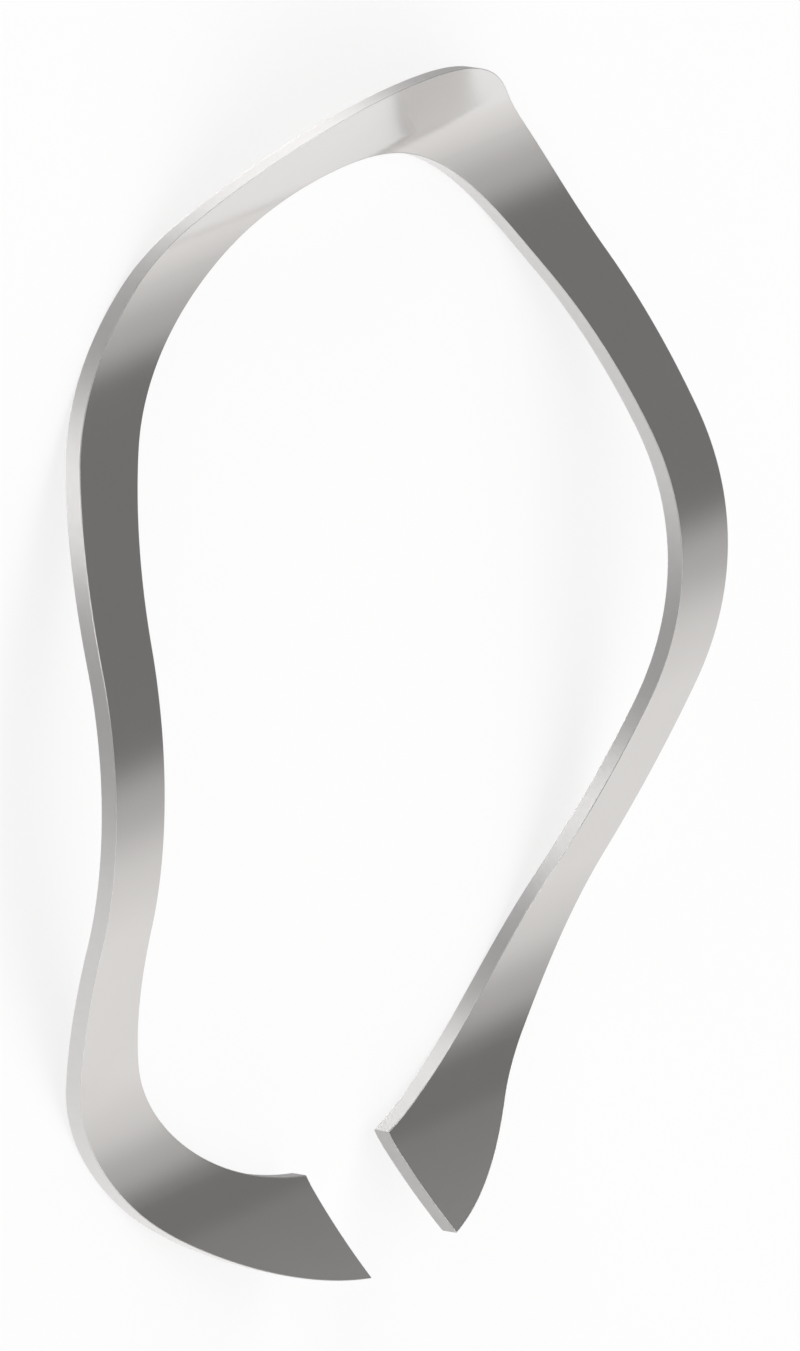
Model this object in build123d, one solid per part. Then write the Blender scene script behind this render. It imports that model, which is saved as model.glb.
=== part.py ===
from build123d import *
import math
import os

# Split wave washer: a flat ring of spring strip, cut through once and struck
# into parallel waves. Millimetres. The axis is Z, the wave runs along X and its
# lines lie along Y. The origin is on the axis, level with the feet it rests on.

# Ring, as seen along its axis
outside_diameter = 46.5
radial_width = 3.6
thickness = 0.65

# Wave, as seen from the side
free_height = 4.97
crest_radius = 15.2
trough_radius = 11.5
flank_deg = 21.1

# Upturned lips at the two ends of the wave, each led in by a tight bend
lip_bend_spacing = 36.0
lip_bend_radius = 4.5
lip_start_deg = 36.5
lip_radius = 28.0

# Split, cut through one lip
split_at_bore = 6.4
split_at_rim = 6.7
split_offset = 0.44

rim_radius = outside_diameter / 2
bore_radius = rim_radius - radial_width
wave_height = free_height - thickness
clear_of_wave = 2 * free_height


def heading(angle_deg):
    """Unit step in the XZ plane, climbing at the angle given."""
    angle = math.radians(angle_deg)
    return Vector(math.cos(angle), 0, math.sin(angle))


def bend(start, from_deg, to_deg, radius):
    """Arc that leaves start at one slope and ends at another."""
    side = radius if to_deg > from_deg else -radius
    centre = start + heading(from_deg + 90) * side
    middle = centre - heading((from_deg + to_deg) / 2 + 90) * side
    end = centre - heading(to_deg + 90) * side
    return ThreePointArc(start, middle, end)


def flank_length():
    """Straight length that brings the wave to its full height."""
    angle = math.radians(flank_deg)
    lost_in_bends = (crest_radius + trough_radius) * (1 - math.cos(angle))
    return (wave_height - lost_in_bends) / math.sin(angle)


def rise_to_lip_bend_deg():
    """Slope that the trough's arc has reached when it meets the tight bend."""
    angle = math.radians(flank_deg)
    both_bends = (crest_radius + trough_radius) * math.sin(angle)
    trough_x = both_bends + flank_length() * math.cos(angle)
    rise = (lip_bend_spacing / 2 - trough_x) / trough_radius
    return math.degrees(math.asin(rise))


def half_wave():
    """One side of the wave, from the middle crest out past the rim."""
    down = -flank_deg
    up = rise_to_lip_bend_deg()
    steep = lip_start_deg + 20
    crest = bend(Vector(0, 0, free_height), 0, down, crest_radius)
    flank = Line(crest @ 1, crest @ 1 + heading(down) * flank_length())
    trough = bend(flank @ 1, down, up, trough_radius)
    lip_bend = bend(trough @ 1, up, lip_start_deg, lip_bend_radius)
    lip = bend(lip_bend @ 1, lip_start_deg, steep, lip_radius)
    return [crest, flank, trough, lip_bend, lip]


def upper_face():
    """Both sides of the wave as one line."""
    right = half_wave()
    left = [mirror(edge, about=Plane.YZ).edge() for edge in right]
    return Wire(left + right)


def struck_strip():
    """Wave section carried straight along Y. Matching dies give both faces
    the same wave, one thickness apart along the axis."""
    drop = Vector(0, 0, -thickness)
    upper = upper_face()
    lower = upper.moved(Location(drop))
    ends = [Line(end, end + drop) for end in (upper @ 0, upper @ 1)]
    section = make_face(upper.edges() + lower.edges() + ends)
    return extrude(section, amount=outside_diameter, both=True)


def ring():
    """Round blank, tall enough to trim the whole wave."""
    blank = Circle(rim_radius) - Circle(bore_radius)
    return extrude(blank, amount=clear_of_wave, both=True)


def split():
    """Gap between the two ends, a little wider at the rim."""
    near = bore_radius - radial_width
    far = rim_radius + radial_width
    flare = split_at_rim - split_at_bore
    near_half = (split_at_bore - flare) / 2
    far_half = (split_at_rim + flare) / 2
    corners = [
        (near, split_offset - near_half),
        (far, split_offset - far_half),
        (far, split_offset + far_half),
        (near, split_offset + near_half),
    ]
    gap = make_face(Polyline(*corners, close=True))
    return extrude(gap, amount=clear_of_wave, both=True)


def wave_washer():
    """The struck strip trimmed to the ring, then split."""
    trimmed = struck_strip() & ring()
    return trimmed - split()


os.makedirs("parts", exist_ok=True)
export_step(wave_washer().solid(), "parts/wave_washer.step")
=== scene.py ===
# %% [markdown]
# # Split wave washer in spring steel
# A wave washer is a spring that is only as tall as its waves. This one is a
# flat ring of hardened steel strip, cut through once, and struck between two
# dies so that it rises to a crest across the middle, dips to the two lines it
# rests on, and turns up at both ends in a lip. The CAD model is the
# frame: it fixes the size and the place, and the piece made here stands on it.

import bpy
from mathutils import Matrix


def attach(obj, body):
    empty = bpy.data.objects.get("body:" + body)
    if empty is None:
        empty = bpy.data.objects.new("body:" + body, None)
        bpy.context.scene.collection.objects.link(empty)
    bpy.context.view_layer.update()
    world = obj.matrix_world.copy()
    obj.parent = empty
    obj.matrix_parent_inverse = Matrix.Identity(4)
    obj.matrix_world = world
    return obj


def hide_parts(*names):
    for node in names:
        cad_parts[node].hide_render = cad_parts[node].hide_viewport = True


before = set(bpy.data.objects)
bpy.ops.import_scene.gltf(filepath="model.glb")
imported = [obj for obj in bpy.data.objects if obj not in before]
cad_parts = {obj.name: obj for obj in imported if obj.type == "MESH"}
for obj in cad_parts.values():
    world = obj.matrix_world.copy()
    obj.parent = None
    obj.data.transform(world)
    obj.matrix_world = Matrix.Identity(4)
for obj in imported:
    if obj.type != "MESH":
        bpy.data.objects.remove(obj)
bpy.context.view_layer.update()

# %% [markdown]
# ## Sizes
# All sizes are those of the washer's drawing, in metres. The wave is described
# as a press tool maker would: a crest radius, a straight flank, a trough
# radius, then a tight bend and the slow curve of the lip.

# %% Sizes of the ring and its wave
import bpy
import math
from mathutils import Quaternion, Vector

MM = 0.001
rim_radius = 23.25 * MM
bore_radius = 19.65 * MM
thickness = 0.65 * MM

free_height = 4.97 * MM
crest_radius = 15.2 * MM
trough_radius = 11.5 * MM
flank = math.radians(21.1)

lip_bend_x = 18.0 * MM
lip_bend_radius = 4.5 * MM
lip_start = math.radians(36.5)
lip_radius = 28.0 * MM

lost_in_bends = (crest_radius + trough_radius) * (1 - math.cos(flank))
flank_length = (free_height - thickness - lost_in_bends) / math.sin(flank)
both_bends = (crest_radius + trough_radius) * math.sin(flank)
trough_x = both_bends + flank_length * math.cos(flank)
rise = math.asin((lip_bend_x - trough_x) / trough_radius)
print("the washer rests on two lines at x = ±%.2f mm" % (trough_x / MM))

# %% [markdown]
# ## Tools for selecting
# Operators act on whatever is selected, so each step first deselects all, then
# picks its own faces or points by where they are. These three helpers do it.

# %% Selection helpers
def start_clean():
    """Leave edit mode and deselect every object."""
    if bpy.context.object and bpy.context.object.mode != "OBJECT":
        bpy.ops.object.mode_set(mode="OBJECT")
    bpy.ops.object.select_all(action="DESELECT")


def choose(piece, kind, wanted):
    """Select, in edit mode, only the points or faces that wanted() accepts."""
    bpy.ops.object.mode_set(mode="EDIT")
    bpy.ops.mesh.select_mode(type={"vertices": "VERT", "polygons": "FACE"}[kind])
    bpy.ops.mesh.select_all(action="DESELECT")
    bpy.ops.object.mode_set(mode="OBJECT")
    for item in getattr(piece.data, kind):
        place = item.co if kind == "vertices" else item.center
        item.select = bool(wanted(place, item.index))
    bpy.ops.object.mode_set(mode="EDIT")


def chosen_points(piece):
    """Numbers of the points now selected."""
    piece.update_from_editmode()
    return [v.index for v in piece.data.vertices if v.select]


# %% [markdown]
# ## The die
# The press needs a die, and so does this model: a surface with the exact wave,
# straight along Y. It grows from one edge across the crest. A spin about an
# axis along Y sweeps that edge into each bend, and an extrude draws the
# straight flank. A mirror makes the other side. Points lifted by a formula
# would give the same heights, but the spins are how a bend is really drawn.

# %% Start of the die: one edge across the crest
die_length = 60 * MM
start_clean()
bpy.ops.mesh.primitive_plane_add(size=die_length, location=(0, 0, 0))
die = bpy.context.object
die.name = "die"
choose(die, "vertices", lambda p, i: p.x < 0)
bpy.ops.mesh.delete(type="VERT")
bpy.ops.mesh.select_all(action="SELECT")
bpy.ops.transform.translate(value=(-die_length / 2, 0, free_height))

# %% Bends and the straight of the die
facets_per_degree = 4
fewest_facets = 12


def die_end():
    """Where the selected edge of the die now is, as (x, z)."""
    points = [die.data.vertices[i].co for i in chosen_points(die)]
    return sum(p.x for p in points) / len(points), sum(p.z for p in points) / len(points)


def bend(slope_from, slope_to, radius):
    """Sweep the open edge of the die through one bend."""
    x, z = die_end()
    side = radius if slope_to > slope_from else -radius
    centre = (x - side * math.sin(slope_from), 0, z + side * math.cos(slope_from))
    turn = slope_to - slope_from
    steps = max(fewest_facets, round(abs(math.degrees(turn)) * facets_per_degree))
    bpy.ops.mesh.spin(steps=steps, angle=turn, center=centre, axis=(0, 1, 0))
    print("bend ends at x %.3f, z %.3f mm" % tuple(v / MM for v in die_end()))


bend(0, -flank, crest_radius)
along = (flank_length * math.cos(flank), 0, -flank_length * math.sin(flank))
bpy.ops.mesh.extrude_region_move(TRANSFORM_OT_translate={"value": along})
bend(-flank, rise, trough_radius)
bend(rise, lip_start, lip_bend_radius)
lip_x = die_end()[0]
lip_sweep = math.radians(20)
bend(lip_start, lip_start + lip_sweep, lip_radius)

# %% The other side of the die
# Points this close to each other are one point: a micrometre, which is also
# the least distance that the merge operator takes
join_distance = 0.001 * MM
start_clean()
die.select_set(True)
mirror = die.modifiers.new("other_side", "MIRROR")
mirror.use_axis = (True, False, False)
mirror.merge_threshold = join_distance
bpy.ops.object.modifier_apply(modifier=mirror.name)
print("die:", len(die.data.polygons), "facets")

# %% [markdown]
# ## The flat blank
# The blank starts as the bore's circle. Each extrude and resize adds one more
# ring out to the rim. The rings are close together at both edges, because
# tumbling wears the strip's corners to a small round, and a round needs its
# own rings. A plain subdivided disc would waste points in the middle.

# %% Rings from the bore to the rim
around = 720
plain_rings = 16
edge_round = 0.03 * MM
beside_round = 1.5 * edge_round

# Each step of the round: how far in from the edge, and how far down, as
# shares of its radius
round_angles = [math.radians(degrees) for degrees in (90, 60, 30, 0)]
round_steps = [(1 - math.sin(angle), 1 - math.cos(angle)) for angle in round_angles]
inset = [edge_round * share_in for share_in, _ in round_steps] + [beside_round]

inner_edge = bore_radius + beside_round
outer_edge = rim_radius - beside_round
ring_gap = (outer_edge - inner_edge) / plain_rings
radii = [bore_radius + distance for distance in inset]
radii += [inner_edge + ring_gap * n for n in range(1, plain_rings)]
radii += [rim_radius - distance for distance in reversed(inset)]

start_clean()
bpy.ops.mesh.primitive_circle_add(vertices=around, radius=bore_radius, location=(0, 0, 0))
washer = bpy.context.object
washer.name = "washer_ring"
bpy.ops.object.mode_set(mode="EDIT")
bpy.ops.mesh.select_all(action="SELECT")
for before, after in zip(radii, radii[1:]):
    bpy.ops.mesh.extrude_edges_move()
    grow = after / before
    bpy.ops.transform.resize(value=(grow, grow, 1), center_override=(0, 0, 0))
bpy.ops.object.mode_set(mode="OBJECT")
print("blank:", len(washer.data.polygons), "faces, width %.3f mm" % (washer.dimensions.x / MM))

# %% [markdown]
# ## Lines for the bends
# A bend that crosses the rings at a slant looks ragged unless points lie along
# it. Bisect lays straight lines of points across the blank where each bend
# starts and ends, and several through the tight bend under each lip.

# %% Lines across the blank
crest_end_x = crest_radius * math.sin(flank)
flank_end_x = crest_end_x + flank_length * math.cos(flank)
bend_lines = 12
bend_step = (lip_x - lip_bend_x) / bend_lines
hair_line = 0.0001 * MM
lines = [crest_end_x, flank_end_x]
lines += [lip_bend_x + bend_step * n for n in range(bend_lines + 1)]
bpy.ops.object.mode_set(mode="EDIT")
for x in lines + [-x for x in lines]:
    bpy.ops.mesh.select_all(action="SELECT")
    bpy.ops.mesh.bisect(plane_co=(x, 0, 0), plane_no=(1, 0, 0), threshold=hair_line)
bpy.ops.object.mode_set(mode="OBJECT")
print("with lines:", len(washer.data.polygons), "faces")

# %% [markdown]
# ## The split
# One end of the ring is cut away so that the washer can spread as it is
# pressed flat. The gap is a little wider at the rim than at the bore. Bisect
# draws each side of the gap and the rings of its own small round, only on the
# near half of the ring, and the faces between the two cuts are deleted.

# %% Cut the gap
gap_at_bore = 6.4 * MM
gap_at_rim = 6.7 * MM
gap_offset = 0.44 * MM
strip_width = rim_radius - bore_radius
gap_flare = (gap_at_rim - gap_at_bore) / 2 / strip_width
gap_start_x = bore_radius - strip_width
gap_half = gap_at_bore / 2 - gap_flare * strip_width

# Each cut: a point on it, and the direction from it into the metal
cuts = []
for way in (1, -1):
    on_cut = Vector((gap_start_x, gap_offset + way * gap_half, 0))
    cuts.append((on_cut, Vector((-gap_flare, way, 0)).normalized()))


def past_cut(point, cut):
    """How far a point is into the metal, away from one side of the gap."""
    return (Vector((point[0], point[1], 0)) - cut[0]).dot(cut[1])


for cut in cuts:
    for distance in inset:
        choose(washer, "polygons", lambda p, i: p.x > gap_start_x)
        on_line = cut[0] + cut[1] * distance
        bpy.ops.mesh.bisect(plane_co=on_line, plane_no=cut[1], threshold=hair_line)
choose(washer, "polygons", lambda p, i: p.x > 0 and max(past_cut(p, c) for c in cuts) < 0)
bpy.ops.mesh.delete(type="FACE")
bpy.ops.object.mode_set(mode="OBJECT")
print("split:", len(washer.data.polygons), "faces")

# %% [markdown]
# ## Striking the wave
# Dies close straight along the axis, so every point of the blank moves up or
# down and never sideways. Shrinkwrap in its project mode does just that: it
# carries each point along Z until it meets the die.

# %% Press the blank on to the die
start_clean()
bpy.context.view_layer.objects.active = washer
washer.select_set(True)
strike = washer.modifiers.new("strike", "SHRINKWRAP")
strike.target = die
strike.wrap_method = "PROJECT"
strike.use_project_x = strike.use_project_y = False
strike.use_project_z = True
strike.use_positive_direction = True
bpy.ops.object.modifier_apply(modifier=strike.name)
bpy.data.objects.remove(die)
heights = [v.co.z for v in washer.data.vertices]
print("struck: z from %.3f to %.3f mm" % (min(heights) / MM, max(heights) / MM))

# %% [markdown]
# ## Thickness
# Both dies have the same wave, so the lower face is the upper one moved down by
# the strip's thickness. Three extrudes are used and not one, because the wall
# needs a line of points close under each round to stay flat in between.

# %% Extrude the strip's thickness
bpy.ops.object.mode_set(mode="EDIT")
bpy.ops.mesh.select_mode(type="FACE")
bpy.ops.mesh.select_all(action="SELECT")
upper_count = len(washer.data.vertices)
for depth in (beside_round, thickness - 2 * beside_round, beside_round):
    down = {"value": (0, 0, -depth)}
    bpy.ops.mesh.extrude_region_move(TRANSFORM_OT_translate=down)
lower = set(chosen_points(washer))
print("thick:", len(washer.data.polygons), "faces")

# %% [markdown]
# ## Rounded edges
# The rings laid beside each edge now sink a little, more and more towards the
# edge, on the upper face, and rise on the lower one. The result is a round of
# 0.03 mm, which catches a fine line of light as a tumbled edge does. Where two
# rounds meet at a corner of the gap, a few points come to lie on each other.
# Merging them leaves one closed skin.

# %% Roll the edges over
def from_edge(point):
    """Distances of a point from the bore or rim, and from the gap."""
    radius = math.hypot(point[0], point[1])
    gap = max(past_cut(point, c) for c in cuts) if point[0] > 0 else rim_radius
    return min(rim_radius - radius, radius - bore_radius), gap


upper = set(range(upper_count))
ring_tolerance = 0.002 * MM
for points, way in ((upper, -1), (lower, 1)):
    for which_edge in (0, 1):
        for share_in, share_down in round_steps[:-1]:
            from_side = share_in * edge_round
            choose(
                washer,
                "vertices",
                lambda p, i: i in points and abs(from_edge(p)[which_edge] - from_side) < ring_tolerance,
            )
            bpy.ops.transform.translate(value=(0, 0, way * share_down * edge_round))
bpy.ops.mesh.select_all(action="SELECT")
bpy.ops.mesh.remove_doubles(threshold=join_distance)
bpy.ops.mesh.normals_make_consistent(inside=False)
bpy.ops.object.mode_set(mode="OBJECT")

# %% Smooth the bends and keep the corners
sharpest_smooth = math.radians(40)
start_clean()
washer.select_set(True)
bpy.context.view_layer.objects.active = washer
bpy.ops.object.shade_smooth_by_angle(angle=sharpest_smooth)
triangles = sum(len(p.vertices) - 2 for p in washer.data.polygons)
print("finished ring:", triangles, "triangles")

# %% [markdown]
# ## Spring steel
# Hardened strip comes from the rolling mill with a close satin finish and a
# faintly warm grey. Wound on edge into a ring, its rolling lines run round the
# washer, and they change the roughness and the height only slightly. Noise
# drawn out along the turn and packed across it makes such lines, and a second,
# slow noise gives the faint clouds of tint that hardening leaves.

# %% Helpers for materials
def colour(text):
    """A hex sRGB colour as linear red, green, blue, alpha."""
    parts = [int(text[i : i + 2], 16) / 255 for i in (1, 3, 5)]
    linear = [c / 12.92 if c <= 0.04045 else ((c + 0.055) / 1.055) ** 2.4 for c in parts]
    return (*linear, 1)


def add(tree, kind, settings=(), links=()):
    """Add a node. Settings name its properties or input sockets, and links
    join its input sockets to the outputs of other nodes."""
    node = tree.nodes.new(kind)
    sockets = []
    for name, value in dict(settings).items():
        if isinstance(name, str) and hasattr(node, name):
            setattr(node, name, value)
        else:
            sockets.append((name, value))
    for name, value in sockets:
        node.inputs[name].default_value = value
    for name, output in dict(links).items():
        tree.links.new(output, node.inputs[name])
    return node


def new_material(name):
    """An empty node material and its tree."""
    material = bpy.data.materials.new(name)
    material.use_nodes = True
    material.node_tree.nodes.clear()
    return material, material.node_tree


# %% Satin strip: rolling lines
steel, tree = new_material("spring_steel_rolled_satin")
place = add(tree, "ShaderNodeTexCoord")
flat = add(
    tree,
    "ShaderNodeVectorMath",
    {"operation": "MULTIPLY", 1: (1, 1, 0)},
    {0: place.outputs["Object"]},
)
radius = add(tree, "ShaderNodeVectorMath", {"operation": "LENGTH"}, {0: flat.outputs["Vector"]})
turn = add(tree, "ShaderNodeVectorMath", {"operation": "NORMALIZE"}, {0: flat.outputs["Vector"]})

# Real rolling lines are a few hundredths of a millimetre apart. They are drawn
# at a tenth, because finer ones wouldn't show.
line_gap = 0.1 * MM
line_length = 12 * MM
turns = add(
    tree,
    "ShaderNodeVectorMath",
    {"operation": "SCALE", "Scale": rim_radius / line_length},
    {0: turn.outputs["Vector"]},
)
line_count = add(
    tree,
    "ShaderNodeMath",
    {"operation": "DIVIDE", 1: line_gap},
    {0: radius.outputs["Value"]},
)
lift = add(tree, "ShaderNodeCombineXYZ", {}, {"Z": line_count.outputs["Value"]})
lined = add(
    tree,
    "ShaderNodeVectorMath",
    {"operation": "ADD"},
    {0: turns.outputs["Vector"], 1: lift.outputs["Vector"]},
)
rolling_lines = add(
    tree,
    "ShaderNodeTexNoise",
    {"Scale": 1.0, "Detail": 3.0, "Roughness": 0.6},
    {"Vector": lined.outputs["Vector"]},
)
print("rolling lines: one in %.2f mm, about %.0f mm long" % (line_gap / MM, line_length / MM))

# %% Satin strip: the metal
cloud_size = 4 * MM
line_depth = 0.002 * MM
cloud = add(
    tree,
    "ShaderNodeTexNoise",
    {"Scale": 1 / cloud_size, "Detail": 2.0, "Roughness": 0.5},
    {"Vector": place.outputs["Object"]},
)
tint = add(
    tree,
    "ShaderNodeMix",
    {"data_type": "RGBA", 6: colour("#D4D2D0"), 7: colour("#D8D6D4")},
    {0: cloud.outputs["Fac"]},
)
rough = add(
    tree,
    "ShaderNodeMapRange",
    {"To Min": 0.15, "To Max": 0.20},
    {"Value": rolling_lines.outputs["Fac"]},
)
bump = add(
    tree,
    "ShaderNodeBump",
    {"Strength": 0.15, "Distance": line_depth},
    {"Height": rolling_lines.outputs["Fac"]},
)
metal = add(
    tree,
    "ShaderNodeBsdfPrincipled",
    {"Metallic": 1.0},
    {
        "Base Color": tint.outputs[2],
        "Roughness": rough.outputs["Result"],
        "Normal": bump.outputs["Normal"],
    },
)
add(tree, "ShaderNodeOutputMaterial", {}, {"Surface": metal.outputs["BSDF"]})
washer.data.materials.append(steel)
print("material:", steel.name, "with", len(tree.nodes), "nodes")

# %% [markdown]
# ## Edges of the strip
# The strip's narrow sides are drawn through a die and not rolled, which leaves
# them less smooth, with lines that run along the strip. Their colour is set a
# little brighter than the faces', which is painted light: it lifts the upright
# edges to the brightness of the light they should catch.
# Lines that all run one way spread a reflection across themselves. That is
# what anisotropy does: it needs a direction, here the one round the washer's
# axis, turned by a quarter so that the spread is up and down.

# %% Drawn edge
edge_steel_painted_lighter, tree = new_material("spring_steel_edge_painted_lighter")
place = add(tree, "ShaderNodeTexCoord")

# The smears that drawing leaves are about a tenth of a millimetre. They are
# drawn four times as large, because smaller ones wouldn't show.
grain_size = 0.4 * MM
grain = add(
    tree,
    "ShaderNodeTexNoise",
    {"Scale": 1 / grain_size, "Detail": 1.0, "Roughness": 0.5},
    {"Vector": place.outputs["Object"]},
)
# These greys are lighter than the faces' steel. That lift is a painted brightening of the upright
# edges; the grain only varies the tone at random.
tint = add(
    tree,
    "ShaderNodeMix",
    {"data_type": "RGBA", 6: colour("#E4E3E2"), 7: colour("#E8E7E6")},
    {0: grain.outputs["Fac"]},
)
rough = add(
    tree,
    "ShaderNodeMapRange",
    {"To Min": 0.56, "To Max": 0.58},
    {"Value": grain.outputs["Fac"]},
)
along = add(tree, "ShaderNodeTangent", {"direction_type": "RADIAL", "axis": "Z"})
metal = add(
    tree,
    "ShaderNodeBsdfPrincipled",
    {"Metallic": 1.0, "Anisotropic": 1.0, "Anisotropic Rotation": 0.25},
    {
        "Base Color": tint.outputs[2],
        "Roughness": rough.outputs["Result"],
        "Tangent": along.outputs["Tangent"],
    },
)
add(tree, "ShaderNodeOutputMaterial", {}, {"Surface": metal.outputs["BSDF"]})
washer.data.materials.append(edge_steel_painted_lighter)
for face in washer.data.polygons:
    face.material_index = 1 if min(from_edge(face.center)) < edge_round else 0
print("edge faces:", sum(face.material_index for face in washer.data.polygons))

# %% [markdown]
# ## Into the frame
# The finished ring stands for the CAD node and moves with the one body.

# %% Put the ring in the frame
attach(washer, "root")
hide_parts("wave_washer")
print("materials on the ring:", [material.name for material in washer.data.materials])

# %% [markdown]
# ## Floor
# A plain white floor under the washer. Seen directly or in the metal it is
# mostly its own white, and the rest is real light, so that the washer still
# leaves a soft shadow where it stands.

# %% Floor
floor_size = 8
own_white = 0.75
start_clean()
bpy.ops.mesh.primitive_plane_add(size=floor_size, location=(0, 0, 0))
floor = bpy.context.object
floor.name = "floor"
paper, tree = new_material("floor_white")
path = add(tree, "ShaderNodeLightPath")
seen = add(
    tree,
    "ShaderNodeMath",
    {"operation": "ADD"},
    {0: path.outputs["Is Camera Ray"], 1: path.outputs["Is Glossy Ray"]},
)
seen_all = add(
    tree,
    "ShaderNodeMath",
    {"operation": "ADD", "use_clamp": True},
    {0: seen.outputs["Value"], 1: path.outputs["Is Transmission Ray"]},
)
share = add(
    tree,
    "ShaderNodeMath",
    {"operation": "MULTIPLY", 1: own_white},
    {0: seen_all.outputs["Value"]},
)
matt = add(tree, "ShaderNodeBsdfDiffuse", {"Color": colour("#FAFAFA")})
white = add(tree, "ShaderNodeEmission", {"Color": colour("#FFFFFF"), "Strength": 1.0})
both = add(
    tree,
    "ShaderNodeMixShader",
    {},
    {0: share.outputs["Value"], 1: matt.outputs["BSDF"], 2: white.outputs["Emission"]},
)
add(tree, "ShaderNodeOutputMaterial", {}, {"Surface": both.outputs["Shader"]})
floor.data.materials.append(paper)
print("floor: %.0f m square" % floor.dimensions.x)

# %% [markdown]
# ## Studio light
# Metal shows what is round it, so the light is a room more than a lamp. The
# room's walls are pale on some sides and dark on others, with soft steps
# between, and a broad soft light hangs overhead. The washer's upright edges
# mirror the table and, as their reflections spread up, the room close above
# it. So the light is stronger low down, and on two sides stand strip lights.
# A lamp over the table would leave the edges dark and burn out the top.

# %% Room: which way a ray goes
world = bpy.data.worlds.new("studio")
bpy.context.scene.world = world
world.use_nodes = True
tree = world.node_tree
tree.nodes.clear()
look = add(tree, "ShaderNodeTexCoord")
towards = add(tree, "ShaderNodeSeparateXYZ", {}, {0: look.outputs["Generated"]})
bearing = add(
    tree,
    "ShaderNodeMath",
    {"operation": "ARCTAN2"},
    {0: towards.outputs["Y"], 1: towards.outputs["X"]},
)
bearing_share = add(
    tree,
    "ShaderNodeMapRange",
    {"From Min": -math.pi, "From Max": math.pi, "To Min": -0.5, "To Max": 0.5},
    {"Value": bearing.outputs["Value"]},
)
turn_share = add(
    tree,
    "ShaderNodeMath",
    {"operation": "FRACT"},
    {0: bearing_share.outputs["Result"]},
)

# %% Room: its sides
# Bearings from and to, in degrees from +X towards +Y, how bright the wall is,
# and how bright it is low down
sides_of_room = [
    (0, 46, 1.30, 1.85),
    (56, 57, 0.97, 0.97),
    (63, 63, 0.86, 0.86),
    (72, 73, 0.565, 0.565),
    (83, 105, 0.225, 0.225),
    (126, 126, 0.33, 0.33),
    (137, 170, 1.15, 5.5),
    (184, 209, 0.10, 0.15),
    (219, 239, 1.15, 6.6),
    (247, 276, 0.12, 0.12),
    (305, 360, 1.25, 1.80),
]
WALL, LOW_DOWN = 2, 3
warm_white = (1.0, 0.99, 0.985)


def round_the_room(column):
    """A colour ramp on the bearing, level on each side and soft in between."""
    node = add(tree, "ShaderNodeValToRGB", {}, {"Fac": turn_share.outputs["Value"]})
    ramp = node.color_ramp
    ramp.interpolation = "EASE"
    tones = [(degrees, side[column]) for side in sides_of_room for degrees in side[:2]]
    while len(ramp.elements) < len(tones):
        ramp.elements.new(0.5)
    for stop, (degrees, tone) in zip(ramp.elements, tones):
        stop.position = degrees / 360
        stop.color = (*(tone * channel for channel in warm_white), 1)
    return node.outputs["Color"]


print("sides of the room:", len(sides_of_room))


# %% Room: walls and overhead light
def up_from(low_deg, high_deg):
    """0 below one height above the horizon and 1 above the other, in degrees,
    with a smooth step between."""
    node = add(
        tree,
        "ShaderNodeMapRange",
        {
            "interpolation_type": "SMOOTHSTEP",
            "From Min": math.sin(math.radians(low_deg)),
            "From Max": math.sin(math.radians(high_deg)),
        },
        {"Value": towards.outputs["Z"]},
    )
    return node.outputs["Result"]


above_strips = up_from(8, 20)
above_walls = up_from(44, 58)
overhead = (1.15, 1.14, 1.13, 1)
wall = add(
    tree,
    "ShaderNodeMix",
    {"data_type": "RGBA"},
    {0: above_strips, 6: round_the_room(LOW_DOWN), 7: round_the_room(WALL)},
)
room = add(
    tree,
    "ShaderNodeMix",
    {"data_type": "RGBA", 7: overhead},
    {0: above_walls, 6: wall.outputs[2]},
)
glow = add(tree, "ShaderNodeBackground", {"Strength": 1.0}, {"Color": room.outputs[2]})
add(tree, "ShaderNodeOutputWorld", {}, {"Surface": glow.outputs["Background"]})
print("overhead light:", overhead[:3])

# %% [markdown]
# ## Camera
# A very long lens, well back, shows the washer almost without perspective, as
# a drawing does. It looks down past the crest, with the gap towards the bottom
# of the picture.

# %% Camera
camera_turn = math.radians(-17.245)
camera_height = math.radians(28.876)
camera_roll = math.radians(98.639)
stand_off = 1285.59 * MM
aim = Vector((0.499, 1.524, 2.908)) * MM
level = math.cos(camera_height)
back = Vector((math.sin(camera_turn) * level, -math.cos(camera_turn) * level, math.sin(camera_height)))
lens = bpy.data.cameras.new("long_lens")
lens.lens = 900
lens.clip_end = 10
camera = bpy.data.objects.new("camera", lens)
bpy.context.scene.collection.objects.link(camera)
camera.location = aim + back * stand_off
camera.rotation_mode = "QUATERNION"
roll = Quaternion((0, 0, 1), camera_roll)
camera.rotation_quaternion = (-back).to_track_quat("-Z", "Y") @ roll
bpy.context.scene.camera = camera
bpy.context.scene.view_settings.view_transform = "Standard"
print("camera stands %.2f m from the washer" % stand_off)
